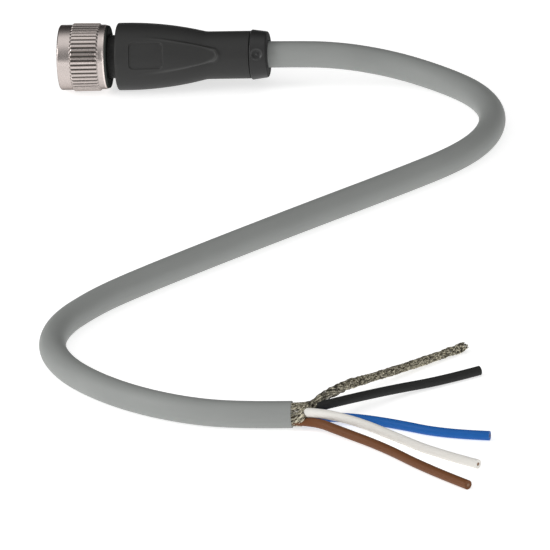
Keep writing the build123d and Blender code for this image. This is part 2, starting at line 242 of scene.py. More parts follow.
class Nodes:
    """A node tree to which each call adds a node."""

    def __init__(self, tree):
        self.tree = tree

    def feed(self, socket, value):
        """Links a value to a socket, or sets the socket to a plain number or colour; None leaves it."""
        if isinstance(value, Value):
            self.tree.links.new(value.socket, socket)
        elif value is not None:
            socket.default_value = value

    def node(self, kind, settings, *values, output=0, **named):
        """A node of that kind: its settings first, then its sockets in order or by name."""
        made = self.tree.nodes.new(kind)
        for key, setting in settings.items():
            if key == "stops":
                for _ in setting[2:]:
                    made.color_ramp.elements.new(1.0)
                for stop, (at, colour) in zip(made.color_ramp.elements, setting):
                    stop.position, stop.color = at, colour
            else:
                setattr(made, key, setting)
        for socket, value in zip(made.inputs, values):
            self.feed(socket, value)
        for key, value in named.items():
            self.feed(made.inputs[key], value)
        return Value(self, made.outputs[output])


class Finish(Nodes):
    """A material with one Principled shader, and the nodes that feed it."""

    def __init__(self, name):
        self.material = bpy.data.materials.new(name)
        self.material.use_nodes = True
        super().__init__(self.material.node_tree)
        self.shader = self.tree.nodes["Principled BSDF"]
        self.place = self.node("ShaderNodeTexCoord", {}, output="Object")

    def noise(self, scale, detail=2.0, press=(1, 1, 1)):
        """Noise from 0 to 1 with features of about 1/scale metres, pressed together along each axis."""
        at = self.node("ShaderNodeMapping", {}, Vector=self.place, Scale=press)
        return self.node("ShaderNodeTexNoise", {}, Vector=at, Scale=scale, Detail=detail)

    def attribute(self, name):
        """The values that a piece's points carry under that name, 0 where it has none."""
        return self.node("ShaderNodeAttribute", {"attribute_name": name}, output="Fac")

    def blend(self, share, first, second):
        """The first colour where share is 0, the second where it is 1: a Mix node's sockets 0, 6 and 7."""
        values = [share, None, None, None, None, None, first, second]
        return self.node("ShaderNodeMix", {"data_type": "RGBA"}, *values, output=2)

    def bump(self, height, strength, depth):
        """A surface direction tilted by the slope of a height, depth in metres."""
        return self.node("ShaderNodeBump", {}, Height=height, Strength=strength, Distance=depth)

    def surface(self, **inputs):
        """Feeds the shader's sockets, named with underscores for spaces, and gives the material."""
        for key, value in inputs.items():
            self.feed(self.shader.inputs[key.replace("_", " ")], value)
        return self.material


def rgb(red, green, blue):
    """A colour as sockets take it, opaque."""
    return (red, green, blue, 1.0)


def shaded(colour, factor):
    """A colour made darker or lighter by a factor, with no channel past 1."""
    return rgb(*np.minimum(factor * np.array(colour), 1))


def plated_finish(name, light, painted_shade_colour, polish):
    """Satin plated metal with turning lines round the axis and grain, painted shade in marked hollows and a
    painted highlight on marked bevels.
    """
    finish = Finish(name)
    lines = finish.noise(900.0, detail=3.0, press=(6.0, 0.35, 0.35))
    clouds = finish.noise(420.0, detail=3.0)
    grain = finish.noise(3200.0)
    # Painted shade: hollows marked by this attribute are painted towards the dark colour and made rougher.
    recess = finish.attribute("recess")
    satin = finish.blend(clouds * 0.3 + grain * 0.45, rgb(*light), shaded(light, 0.72))
    # Painted highlight: the bevel marked by this attribute is painted a lighter colour than the metal.
    base = finish.blend(finish.attribute("burnish"), satin, shaded(light, 1.45))
    return finish.surface(
        Base_Color=finish.blend(recess, base, rgb(*painted_shade_colour)),
        Metallic=1.0,
        Roughness=polish + 0.08 * clouds + 0.1 * grain + 0.3 * recess,
        Specular_Tint=rgb(0.3, 0.3, 0.3),
        Normal=finish.bump(lines, strength=0.12, depth=0.00002))


def moulded_finish(name, colour, edge_highlight_colour, gloss, grain, grain_strength):
    """Moulded black plastic with a fine grain and faint flow mottling; marked edges get a painted highlight,
    a lighter colour, and are glossier.
    """
    finish = Finish(name)
    clouds = finish.noise(160.0, detail=4.0)
    fine = finish.noise(grain)
    edge, matt = finish.attribute("edge"), finish.attribute("matt")
    base = finish.blend(clouds, rgb(*colour), shaded(colour, 1.35))
    return finish.surface(
        Base_Color=finish.blend(edge * 0.5, base, rgb(*edge_highlight_colour)),
        Roughness=gloss + 0.12 * clouds - 0.06 * fine - 0.2 * edge + 0.5 * matt,
        Specular_IOR_Level=0.38,
        Normal=finish.bump(fine, grain_strength, depth=0.00003))


def sheath_finish(name, colour, shade, gloss, mottling=0.8, shine=0.5):
    """Extruded sheath: even colour with soft mottling towards a shade, and a slight orange peel."""
    finish = Finish(name)
    clouds = finish.noise(70.0, detail=4.0)
    peel = finish.noise(1500.0)
    return finish.surface(
        Base_Color=finish.blend(clouds * mottling, rgb(*colour), rgb(*shade)),
        Roughness=gloss + 0.14 * clouds,
        Specular_IOR_Level=shine,
        Normal=finish.bump(peel, strength=0.08, depth=0.00003))


def core_finish(name, colour, shade, gloss):
    """A core's sheath, duller than the jacket."""
    return sheath_finish(name, colour, shade, gloss, shine=0.16)


def braid_finish():
    """Dull tinned copper wires: each has its own tone, with random dark blotches and painted shade where it
    dives under others.
    """
    finish = Finish("tinned wires")
    tone, under = finish.attribute("tone"), finish.attribute("under")
    blotch = finish.noise(2200.0, detail=3.0)
    bright = finish.blend(tone, rgb(0.12, 0.1, 0.06), rgb(1.0, 0.94, 0.74))
    # Random dark blotches, and painted shade where a wire dives under the other hand.
    blotches_and_painted_shade = 3.0 * blotch + 1.1 * under - 1.55
    return finish.surface(
        Base_Color=finish.blend(blotches_and_painted_shade, bright, rgb(0.03, 0.024, 0.015)),
        Metallic=0.85,
        Roughness=0.3 + 0.25 * blotch)


def floor_finish():
    """White paper that glows a little, as a lit sweep does."""
    finish = Finish("pale paper")
    clouds = finish.noise(9.0, detail=3.0)
    return finish.surface(
        Base_Color=finish.blend(clouds, rgb(0.67, 0.67, 0.67), rgb(0.69, 0.69, 0.69)),
        Roughness=0.9,
        Specular_IOR_Level=0.1,
        Emission_Color=rgb(1, 1, 1),
        Emission_Strength=0.67)


# The second colour of each plated finish is the dark colour of the painted shade in marked hollows.
NICKEL = plated_finish("satin nickel", (0.64, 0.57, 0.54), (0.03, 0.04, 0.036), polish=0.19)
TURNED = plated_finish("turned nickel", (0.62, 0.6, 0.55), (0.15, 0.14, 0.13), polish=0.26)
SPRING = plated_finish("spring steel", (0.52, 0.52, 0.53), (0.12, 0.12, 0.12), polish=0.24)
GOLD = plated_finish("gold plate", (0.86, 0.62, 0.26), (0.3, 0.2, 0.08), polish=0.22)
COPPER = plated_finish("dull copper", (0.3, 0.19, 0.13), (0.2, 0.1, 0.06), polish=0.42)
# The third colour of each moulded finish is the lighter colour of the painted highlight on marked edges.
GRIP_BLACK = moulded_finish("grip black", (0.017, 0.017, 0.0165), (0.06, 0.06, 0.058),
                            gloss=0.5, grain=3200.0, grain_strength=0.22)
MOULD_BLACK = moulded_finish("mould black", (0.014, 0.014, 0.014), (0.1, 0.1, 0.1),
                             gloss=0.36, grain=1800.0, grain_strength=0.06)
CARRIER_BLACK = moulded_finish("carrier black", (0.03, 0.03, 0.032), (0.06, 0.06, 0.06),
                               gloss=0.4, grain=2600.0, grain_strength=0.1)
SEAL_RUBBER = moulded_finish("seal rubber", (0.03, 0.028, 0.026), (0.05, 0.05, 0.05),
                             gloss=0.5, grain=2600.0, grain_strength=0.1)
JACKET_GREY = sheath_finish("jacket grey", (0.285, 0.295, 0.285), (0.24, 0.25, 0.242), gloss=0.5)
CORE_COLOURS = {
    "brown": core_finish("core brown", (0.168, 0.064, 0.024), (0.128, 0.048, 0.018), gloss=0.4),
    "white": core_finish("core white", (0.86, 0.84, 0.795), (0.77, 0.75, 0.7), gloss=0.42),
    "blue": core_finish("core blue", (0.013, 0.122, 0.43), (0.01, 0.1, 0.36), gloss=0.4),
    "black": core_finish("core black", (0.025, 0.0255, 0.0245), (0.019, 0.019, 0.018), gloss=0.5),
}
FILLER_DARK = sheath_finish("filler", (0.03, 0.028, 0.025), (0.012, 0.012, 0.011), gloss=0.7, mottling=1.0)
TINNED = braid_finish()


def smooth(value):
    """0 below 0, 1 above 1, and an S curve between."""
    t = np.clip(value, 0, 1)
    return t * t * (3 - 2 * t)


def band(value, middle, half):
    """1 at the middle, falling evenly to 0 at half a width to each side."""
    return np.clip(1 - np.abs(value - middle) / half, 0, 1)


def once_round(count):
    """Evenly spaced angles round a full turn."""
    return np.linspace(0, FULL_TURN, count, endpoint=False)


def across_side(angles, facing, radius):
    """Distance across from the line that faces that way, r sin of the angle between; far off behind."""
    return np.where(np.cos(angles - facing) > 0, radius * np.sin(angles - facing), ELSEWHERE)


def grid_faces(rows, columns, wrap_rows, wrap_columns):
    """Corner numbers of the quads of a grid of points, closed end to start where a direction wraps."""
    i, j = np.meshgrid(np.arange(rows if wrap_rows else rows - 1),
                       np.arange(columns if wrap_columns else columns - 1), indexing="ij")
    below, beside = (i + 1) % rows, (j + 1) % columns
    quads = [i * columns + j, i * columns + beside, below * columns + beside, below * columns + j]
    return np.stack(quads, -1).reshape(-1, 4)


def piece(name, patches, finish, body, nodes=(), crease=35.0):
    """One object from grids of points in millimetres, each (points, wrap rows, wrap columns, values by name).

    Points that coincide are merged, faces turned outwards, and edges sharper than crease degrees kept sharp.
    """
    points, faces, start = [], [], 0
    named = {key: [] for _, _, _, values in patches for key in values}
    for grid, wrap_rows, wrap_columns, values in patches:
        rows, columns = grid.shape[:2]
        faces.append(grid_faces(rows, columns, wrap_rows, wrap_columns) + start)
        points.append(grid.reshape(-1, 3))
        start += rows * columns
        for key in named:
            named[key].append(np.broadcast_to(values.get(key, 0.0), (rows, columns)).ravel())
    mesh = bpy.data.meshes.new(name)
    mesh.from_pydata(np.concatenate(points) * MM, [], np.concatenate(faces))
    for key, parts in named.items():
        carried = mesh.attributes.new(key, "FLOAT", "POINT")
        carried.data.foreach_set("value", np.concatenate(parts).astype(np.float32))
    work = bmesh.new()
    work.from_mesh(mesh)
    bmesh.ops.remove_doubles(work, verts=work.verts, dist=1e-7)
    bmesh.ops.recalc_face_normals(work, faces=work.faces)
    work.to_mesh(mesh)
    work.free()
    mesh.shade_smooth()
    mesh.set_sharp_from_angle(angle=math.radians(crease))
    mesh.materials.append(finish)
    made = bpy.data.objects.new(name, mesh)
    bpy.context.scene.collection.objects.link(made)
    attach(made, body)
    if nodes:
        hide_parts(*nodes)
    return made


def lathe(stations, radii, angles, y=0.0, z=0.0):
    """Points turned about the connector's axis, or one beside it: y = r cos a, z = r sin a."""
    radii = radii + 0 * angles
    return np.stack([FRONT_X + stations + 0 * radii, y + radii * np.cos(angles),
                     AXIS_Z + z + radii * np.sin(angles)], -1)


def outline(*runs):
    """Runs of (station, radius) corners joined into one closed outline, as columns of stations and radii."""
    corners = np.concatenate([np.asarray(run, float).reshape(-1, 2) for run in runs])
    return corners[:, :1], corners[:, 1:]


def coupling_nut():
    """Nut: outline turned about the axis; the knurl is a row of flat ridges in angle, the thread a
    trapezoid wave of station over pitch less turns."""
    in_pitch = np.array([-GROOVE_HALF, GROOVE_HALF, 0.21, 0.27, 0.34, 0.5, 0.66, 0.73, 0.79])
    angles = (np.arange(KNURL_COUNT)[:, None] + in_pitch).ravel()[None, :] * FULL_TURN / KNURL_COUNT
    flank = (np.abs(in_pitch - np.round(in_pitch)) - GROOVE_HALF) / RIDGE_FLANK
    ridge = np.tile(0.5 * smooth(flank) + 0.5 * np.clip(flank, 0, 1), KNURL_COUNT)[None, :]
    end_steps = np.array([0, 0.06, 0.13, 0.2, 0.27, 0.34, 0.6])
    knurl_middle = [(KNURL_START + KNURL_END) / 2]
    knurl = np.concatenate([KNURL_START + end_steps, knurl_middle, KNURL_END - end_steps[::-1]])
    knurl_share = (knurl - KNURL_START) / (KNURL_END - KNURL_START)
    knurl_base = NUT_FRONT_BAND + (NUT_REAR_RIM - NUT_FRONT_BAND) * knurl_share
    front_band = [(0, NUT_MOUTH), (0, 6.78), (0.02, 6.88), (0.07, 6.96), (0.2, 7.1), (0.28, 7.14),
                  (0.4, NUT_FRONT_BAND), (2.6, NUT_FRONT_BAND)]
    rear_bevel = [(9.3, NUT_REAR_RIM), (10.02, NUT_REAR_RIM), (10.08, 7.07), (10.14, 7.05), (10.4, 6.95),
                  (10.43, 6.92), (10.46, 6.89)]
    rear_face = [(10.74, 6.87), (10.84, 6.82), (10.91, 6.72), (NUT_END, 6.58), (NUT_END, 5.05)]
    spring_groove = [(10.92, 4.98), (10.86, FLANGE_BORE), (10.0, FLANGE_BORE), (10.0, 5.55), (9.2, 5.55),
                     (9.2, FLANGE_BORE), (8.75, FLANGE_BORE), (FLANGE_FRONT, 5.0), (FLANGE_FRONT, 5.98)]
    thread = np.arange(FLANGE_FRONT - 0.05, 0.02, -THREAD_STEP)
    stations, radii = outline(
        front_band, np.stack([knurl, knurl_base], 1), rear_bevel, rear_face, spring_groove,
        np.stack([thread, np.full_like(thread, THREAD_RADIUS)], 1))
    from_start = np.clip((stations - KNURL_START) / KNURL_BEVEL, 0, 1)
    from_end = np.clip((KNURL_END - stations) / KNURL_BEVEL, 0, 1)
    on_knurl = ((radii > NUT_SKIN) & (stations > 1)) * from_start * from_end
    in_bore = np.isclose(radii, THREAD_RADIUS) & (stations < FLANGE_FRONT)
    phase = np.mod(stations / THREAD_PITCH - angles / FULL_TURN, 1.0)
    crest = np.clip((THREAD_ROOT_HALF - np.abs(phase - 0.5)) / THREAD_FLANK, 0, 1)
    crest = crest * smooth((THREAD_END - stations) / THREAD_RUNOUT)
    turned = radii + on_knurl * KNURL_HEIGHT * ridge - in_bore * THREAD_DEPTH * crest
    turned = np.where(in_bore, np.maximum(turned, NUT_MOUTH - stations), turned)
    # Painted shade: the knurl's grooves, the thread's roots and the rear face behind the bevel are marked to
    # be painted dark.
    behind = smooth((stations - BEVEL_MIDDLE - BEVEL_HALF) / 0.02) * (radii > FLANGE_BORE - 0.01)
    recess = on_knurl * (1 - ridge) * 0.8 + in_bore * (1 - crest) * 0.25 + behind * 0.95
    # Painted highlight: the rear bevel is marked to be painted lighter.
    burnish = (np.abs(stations - BEVEL_MIDDLE) < BEVEL_HALF) * (radii > NUT_SKIN) * 1.0
    values = {"recess": recess, "burnish": burnish}
    return piece("coupling_nut_knurled", [(lathe(stations, turned, angles), True, True, values)],
                 NICKEL, "nut", ["coupling_nut"], crease=40)


def circle_through(a, b, c):
    """Centre and radius of the circle through three points."""
    (ax, ay), (bx, by), (cx, cy) = a, b, c
    rows = np.array([[bx - ax, by - ay], [cx - ax, cy - ay]])
    half = 0.5 * np.array([bx**2 - ax**2 + by**2 - ay**2, cx**2 - ax**2 + cy**2 - ay**2])
    centre = np.linalg.solve(rows, half)
    return centre, float(np.hypot(*(centre - np.array(a))))


def pad_inset(s, across):
    """How far inside a pad's outline a point lies: bowed sides to a waist, then a round nose."""
    nose_s = PAD_TIP - PAD_NOSE
    centre, radius = circle_through(
        (PAD_START, PAD_HALF_WIDTH), (PAD_WAIST, PAD_WAIST_HALF_WIDTH), (nose_s, PAD_NOSE))
    sides = radius - np.hypot(s - centre[0], np.abs(across) - centre[1])
    nose = PAD_NOSE - np.hypot(s - nose_s, across)
    return np.where(s < nose_s, sides, nose)


def rounded_box(u, v, half_u, half_v, corner):
    """Signed distance to a rectangle with round corners, below 0 inside it."""
    du, dv = np.abs(u) - half_u + corner, np.abs(v) - half_v + corner
    return np.hypot(np.maximum(du, 0), np.maximum(dv, 0)) + np.minimum(np.maximum(du, dv), 0) - corner


def arc_drop(radius, run):
    """How far an arc that starts level drops over a run: r less the root of r squared less run squared."""
    return radius - np.sqrt(radius**2 - np.maximum(run, 0) ** 2)


def grip():
    """Grip: a level start, an ogive and a level strain relief, with two raised pads on flatter arcs
    and a sunk label panel on the near one."""
    label_half = LABEL_WIDTH / 2 / GRIP_RADIUS
    label_sides = [PAD_ANGLE + side * label_half + np.radians(np.linspace(-1.5, 1.5, 9)) for side in (-1, 1)]
    angles = np.unique(np.concatenate([once_round(340), *label_sides]))[None, :]
    label_ends = [LABEL_CENTRE + side * LABEL_LENGTH / 2 + np.linspace(-0.16, 0.16, 7) for side in (-1, 1)]
    outer = np.unique(np.concatenate([np.linspace(0.5, COLLAR_FRONT - GRIP_FRONT - 0.3, 168), *label_ends]))
    run, drop = GRIP_TAPER - GRIP_STRAIGHT, GRIP_RADIUS - RELIEF_RADIUS
    ogive = GRIP_RADIUS - arc_drop((run**2 + drop**2) / (2 * drop), outer - GRIP_STRAIGHT)
    base = 0.5 * (ogive + RELIEF_RADIUS + np.sqrt((ogive - RELIEF_RADIUS) ** 2 + FOOT_BLEND))
    end = COLLAR_FRONT - 0.1
    neck = [(NECK_FRONT, 4.69), (NECK_FRONT, 4.72), (NECK_FRONT + 0.04, NECK_RADIUS),
            (GRIP_FRONT - 0.08, NECK_RADIUS), (GRIP_FRONT - 0.02, 4.76), (GRIP_FRONT, 4.83)]
    front_edge = [(GRIP_FRONT, 7.0), (GRIP_FRONT + 0.03, 7.14), (GRIP_FRONT + 0.1, 7.26),
                  (GRIP_FRONT + 0.2, 7.35), (GRIP_FRONT + 0.34, GRIP_RADIUS)]
    rear_edge = [(end - 0.08, RELIEF_RADIUS), (end - 0.02, RELIEF_RADIUS - 0.04), (end, RELIEF_RADIUS - 0.12)]
    inside = [(end, 4.25), (end - 0.1, 4.22), (31.6, 4.22), (28.0, 4.89), (13.7, 4.89), (13.7, 4.69)]
    stations, radii = outline(neck, front_edge, np.stack([GRIP_FRONT + outer, base], 1), rear_edge, inside)
    outside = (radii > 5.1) & (stations > GRIP_FRONT + 0.4) & (stations < end - 0.05)
    s = stations - GRIP_FRONT
    height = np.maximum(GRIP_RADIUS - arc_drop(PAD_ARC, s - GRIP_STRAIGHT) - radii, 0) * outside
    nosed = smooth((s - PAD_TIP + NOSE_REACH) / NOSE_RUN)
    ramp = PAD_RAMP + NOSE_EXTRA_RAMP * nosed
    raised, edge = 0, 0
    for facing in (PAD_ANGLE, PAD_ANGLE + np.pi):
        inset = pad_inset(s, across_side(angles, facing, radii + height)) / ramp
        raised = raised + smooth(inset + 0.12) * height
        # Painted highlight: a band along each pad's outline, stronger at the nose, is marked to be painted
        # lighter.
        edge = edge + band(inset, 0.72, 0.5) * smooth(height / 0.35) * (1 + 0.7 * nosed)
    across = across_side(angles, PAD_ANGLE, GRIP_RADIUS)
    panel = rounded_box(s - LABEL_CENTRE, across, LABEL_LENGTH / 2, LABEL_WIDTH / 2, LABEL_CORNER)
    sunk = LABEL_DEPTH * smooth(0.5 - panel / LABEL_WALL) * outside
    # Painted highlight: a thin band just outside the label panel is marked to be painted lighter.
    edge = edge + band(panel, 0.16, 0.12) * 0.5
    skin = lathe(stations, radii + raised - sunk, angles)
    return piece("grip_moulded", [(skin, True, True, {"edge": edge * outside})],
                 GRIP_BLACK, "connector", ["grip"], crease=50)


def inner_mould():
    """Inner mould: its collar tapers to the rear; the gate mark is a ball-shaped dimple with a small stub."""
    angles = once_round(360)[None, :]
    along = np.linspace(COLLAR_FRONT + 0.3, CONNECTOR_END - 0.6, 36)
    share = (along - along[0]) / (along[-1] - along[0])
    front = [(18.0, 4.45), (18.0, 4.79), (27.9, 4.79), (31.4, 4.115), (COLLAR_FRONT, 4.115)]
    lip = [(COLLAR_FRONT, 5.2), (COLLAR_FRONT + 0.03, 5.33), (COLLAR_FRONT + 0.1, 5.43),
           (COLLAR_FRONT + 0.2, 5.49)]
    taper = np.stack([along, COLLAR_LIP + (COLLAR_END - COLLAR_LIP) * share], 1)
    rear_edge = [(CONNECTOR_END - 0.42, 5.06), (CONNECTOR_END - 0.28, 4.97), (CONNECTOR_END - 0.19, 4.85),
                 (CONNECTOR_END - 0.13, 4.7), (CONNECTOR_END - 0.1, 4.5)]
    bore = [(CONNECTOR_END, 3.2), (CONNECTOR_END - 0.06, 3.05), (CONNECTOR_END - 0.2, 3.0),
            (34.9, 3.0), (34.9, 2.52)]
    stations, radii = outline(front, lip, taper, rear_edge, bore)
    around = across_side(angles, PAD_ANGLE, radii)
    reach = np.hypot(stations - COLLAR_FRONT - GATE_STATION, around) + ELSEWHERE * (radii < 5.0)
    ball = (GATE_RADIUS**2 + GATE_DEPTH**2) / (2 * GATE_DEPTH)
    dimple = np.maximum(np.sqrt(np.maximum(ball**2 - reach**2, 0)) - (ball - GATE_DEPTH), 0)
    stub = GATE_STUB * smooth(1.5 - reach / 0.28)
    # Painted highlight: the dimple's rim and its stub are marked to be painted lighter.
    edge = band(reach, GATE_RADIUS, 0.2) * 0.8 + smooth(1.3 - reach / 0.25) * 0.7
    matt = smooth((stations - CONNECTOR_END + 0.3) / 0.1)
    skin = lathe(stations, radii - dimple + stub, angles)
    return piece("inner_mould_collar", [(skin, True, True, {"edge": edge, "matt": matt})],
                 MOULD_BLACK, "connector", ["inner_mould"], crease=50)


def keyed_ring(radius, keyed):
    """A circle in Y and Z whose columns match at every radius, with a notch towards -Y if keyed."""
    half = math.asin(KEY_HALF / INSERT_RADIUS)
    round_part = np.linspace(np.pi + half, 3 * np.pi - half, 140)
    angle = np.concatenate([round_part, np.pi + half * np.array([-0.9, -0.4, 0.4, 0.9])])
    y, z = radius * np.cos(angle), radius * np.sin(angle)
    if keyed:
        y[-4:] = -KEY_FLOOR
        z[-4:] = KEY_HALF * np.array([1, 0.4, -0.4, -1])
    return y, z


def run_of_points(*corners, count=14):
    """Points along straight runs between corners, each run's end left to the next."""
    corners = np.array(corners, float)
    share = np.linspace(0, 1, count, endpoint=False)[None, :, None]
    return (corners[:-1, None] * (1 - share) + corners[1:, None] * share).reshape(-1, 2)


def face_quarter(y_sign, z_sign):
    """A quarter of the mating face: rings round the pin hole, then rays out to the quarter's own edge."""
    start = math.asin(KEY_HALF / INSERT_RADIUS) if y_sign < 0 else 0.0
    arc = np.linspace(start, np.pi / 2, 40, endpoint=False)
    rim = INSERT_RADIUS * np.stack([np.cos(arc), np.sin(arc)], 1)
    keyway = [(KEY_FLOOR, 0), (KEY_FLOOR, KEY_HALF)] if y_sign < 0 else []
    inward = [(0, 0), *keyway, rim[0]]
    edge = np.concatenate([run_of_points(*inward), rim, run_of_points((0, INSERT_RADIUS), (0, 0))])
    hole = np.array([CONTACT_STEP, CONTACT_STEP])
    ray = edge - hole
    unit = ray / np.linalg.norm(ray, axis=1, keepdims=True)
    rings = [hole + unit * radius for radius in (0.62, 0.62, 0.66, 0.86, 0.9)] + [edge]
    deep = np.array([2.2, 0.95, 0.82, 0.62, INSERT_FACE, INSERT_FACE])
    flat = np.stack(rings) * np.array([y_sign, z_sign])
    x = FRONT_X + deep[:, None] + 0 * flat[..., 0]
    return np.stack([x, flat[..., 0], AXIS_Z + flat[..., 1]], -1)


def contact_carrier():
    """Carrier: four face quarters round their pin holes, and rings along the axis for barrel, shoulder
    and tail, each (station, radius, keyed)."""
    barrel = [(INSERT_FACE, INSERT_RADIUS, True), (5.15, INSERT_RADIUS, True),
              (5.2, 4.0, True), (6.4, 4.0, True)]
    shoulder = [(6.4, 4.95, False), (7.15, 4.95, False)]
    tail = [(7.15, 3.55, False), (13.6, 3.55, False), (13.6, 0.0, False)]
    sections = [(station, *keyed_ring(radius, keyed)) for station, radius, keyed in barrel + shoulder + tail]
    wall = np.stack([np.stack([0 * y + FRONT_X + x, y, AXIS_Z + z], -1) for x, y, z in sections])
    quarters = [(face_quarter(*signs), False, True, {}) for signs in CONTACT_PLACE.values()]
    return piece("contact_carrier_keyed", [(wall, False, True, {})] + quarters,
                 CARRIER_BLACK, "connector", ["contact_carrier"], crease=30)


def socket_contacts():
    """Contacts: a tube section turned about its own axis, with the pin bore in front and the cup behind."""
    angles = once_round(40)[None, :]
    barrel = [(CONTACT_FRONT, 0.55), (CONTACT_FRONT, 0.66), (CONTACT_FRONT + 0.06, CONTACT_RADIUS),
              (CUP_END, CONTACT_RADIUS)]
    cup = [(CUP_END, CUP_RADIUS), (13.8, CUP_RADIUS)]
    bore = [(13.7, 0.2), (6.6, 0.2), (6.5, 0.52), (CONTACT_FRONT + 0.05, 0.52)]
    stations, radii = outline(barrel, cup, bore)
    # Painted shade: the pin bore and the cup inside each contact are marked to be painted half dark.
    inside = (radii < 0.6) * 0.5
    for colour, (y, z) in CONTACT_PLACE.items():
        tube = lathe(stations, radii, angles, y * CONTACT_STEP, z * CONTACT_STEP)
        piece(f"socket_{colour}", [(tube, True, True, {"recess": inside})], GOLD, "connector",
              [f"contact_{colour}"])


def front_seal():
    """O-ring: a small circle carried round the axis."""
    turn = once_round(24)[:, None]
    stations = SEAL_STATION + SEAL_SECTION_RADIUS * np.cos(turn)
    radii = SEAL_RADIUS + SEAL_SECTION_RADIUS * np.sin(turn)
    ring = lathe(stations, radii, once_round(144)[None, :])
    return piece("front_seal_ring", [(ring, True, True, {})],
                 SEAL_RUBBER, "connector", ["front_seal"])


def nurbs(name, points, radius=0.0, sides=12):
    """A smooth curve with those control points in millimetres, as thick as the radius at each of them."""
    data = bpy.data.curves.new(name, "CURVE")
    data.dimensions = "3D"
    line = data.splines.new("NURBS")
    line.points.add(len(points) - 1)
    line.points.foreach_set("co", np.hstack([np.asarray(points) * MM, np.ones((len(points), 1))]).ravel())
    line.points.foreach_set("radius", (np.zeros(len(points)) + radius) * MM)
    line.order_u = 3
    line.use_endpoint_u = True
    line.resolution_u = 16
    data.bevel_depth = float(np.max(radius) > 0)
    data.bevel_resolution = sides
    data.use_fill_caps = True
    made = bpy.data.objects.new(name, data)
    bpy.context.scene.collection.objects.link(made)
    return made


def centreline(points):
    """Points in millimetres read from the smooth curve with those control points."""
    guide = nurbs("guide", points)
    mesh = bpy.data.meshes.new_from_object(guide)
    line = np.empty(len(mesh.vertices) * 3)
    mesh.vertices.foreach_get("co", line)
    bpy.data.objects.remove(guide)
    bpy.data.meshes.remove(mesh)
    return line.reshape(-1, 3) / MM


def line_length(line):
    """The steps between a line's points, added up."""
    return float(np.linalg.norm(np.diff(line, axis=0), axis=1).sum())


def cord(name, points, radius, finish, slot, nodes, leaves, sides=12, **facts):
    """A cord of those control points; the length of its own curve is worked out but not used."""
    made = nurbs(name, points, radius, sides)
    made.data.materials.append(finish)
    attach(made, "connector")
    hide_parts(*nodes)
    line_length(centreline(points)) * MM
    return made


def beside_route(side, up):
    """The route's inner points moved to the left by side, mitred at the turns, and raised by up."""
    step = np.diff(ROUTE[:, :2], axis=0)
    step = step / np.linalg.norm(step, axis=1, keepdims=True)
    ahead = step[:-1] + step[1:]
    ahead = ahead / np.linalg.norm(ahead, axis=1, keepdims=True)
    mitre = side / np.sum(ahead * step[:-1], axis=1, keepdims=True)
    moved = ROUTE[1:-1].copy()
    moved[:, :2] += mitre * np.stack([-ahead[:, 1], ahead[:, 0]], 1)
    moved[:, 2] += up
    return moved


def core_points(colour):
    """A core's control points: straight out of its cup, across to its lay, along the cable and to its end."""
    y, z = (CONTACT_STEP * sign for sign in CONTACT_PLACE[colour])
    side, up = (CORE_STEP * sign for sign in CORE_LAY[colour])
    leave = CUP_END + FAN_IN_START
    lays = CROSSING.get(colour, []) + [(side, up)]
    inside = [(CUP_END + CUP_TAIL, y, z), (leave, y, z)]
    inside += [(leave + FAN_IN_LENGTH * (k + 1) / len(lays), *lay) for k, lay in enumerate(lays)]
    fan_in = np.array(inside) + np.array([FRONT_X, 0.0, AXIS_Z])
    return np.concatenate([fan_in, beside_route(side, up), np.array(FAN_OUT[colour]) + CUT_FLOOR])


def cores():
    """Each core's sheath and the copper in it, whose cut end stands a hair proud of the sheath's."""
    for colour, finish in CORE_COLOURS.items():
        points = core_points(colour)
        copper = nurbs(f"copper_{colour}", points, CONDUCTOR_RADIUS, 4)
        ahead = points[-1] - points[-2]
        tip = points[-1] + COPPER_PROUD * ahead / np.linalg.norm(ahead)
        copper.data.splines[0].points[-1].co = [*(tip * MM), 1.0]
        copper.data.materials.append(COPPER)
        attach(copper, "connector")
        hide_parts(f"conductor_{colour}")
        free = np.arange(len(points)) >= len(points) - len(FAN_OUT[colour])
        radius = np.where(free, FREE_CORE_RADIUS, CORE_RADIUS)
        cord(f"sheath_{colour}", points, radius, finish, f"core_{colour}", [f"core_{colour}"], points[0],
             sides=8, stiffness="medium", with_pieces=[copper])


def cable_jacket():
    """The cable's outer sheath, a smooth tube along the route."""
    made = cord("jacket", ROUTE, JACKET_RADIUS, JACKET_GREY, "jacket_grey", ["cable_jacket"],
                (FRONT_X + CONNECTOR_END, 0.0, AXIS_Z), sides=20, stiffness="medium")
    made.data.splines[0].resolution_u = 24
    return made


def along_line(line, shares):
    """Points at shares of a line's length, with unit vectors to the left of it and upwards."""
    at = np.concatenate([[0], np.cumsum(np.linalg.norm(np.diff(line, axis=0), axis=1))])
    even = np.linspace(0, at[-1], 200)
    points = np.stack([np.interp(even, at, line[:, k]) for k in range(3)], 1)
    ahead = np.gradient(points, axis=0)
    left = np.cross((0, 0, 1.0), ahead)
    left /= np.linalg.norm(left, axis=1, keepdims=True)
    upward = np.cross(ahead, left)
    upward /= np.linalg.norm(upward, axis=1, keepdims=True)
    found = (np.stack([np.interp(shares * at[-1], even, values[:, k]) for k in range(3)], 1)
             for values in (points, left, upward))
    return tuple(found)


def strand_tubes(lines, radius, sides):
    """Thin round tubes along many lines at once: lines is (strands, points, 3)."""
    ahead = np.gradient(lines, axis=1)
    ahead /= np.linalg.norm(ahead, axis=2, keepdims=True)
    aside = np.cross(ahead, (0.31, -0.2, 0.93))
    aside /= np.linalg.norm(aside, axis=2, keepdims=True)
    over = np.cross(ahead, aside)
    turn = once_round(sides)[:, None]
    ring = aside[:, :, None] * np.cos(turn) + over[:, :, None] * np.sin(turn)
    return lines[:, :, None] + radius * ring


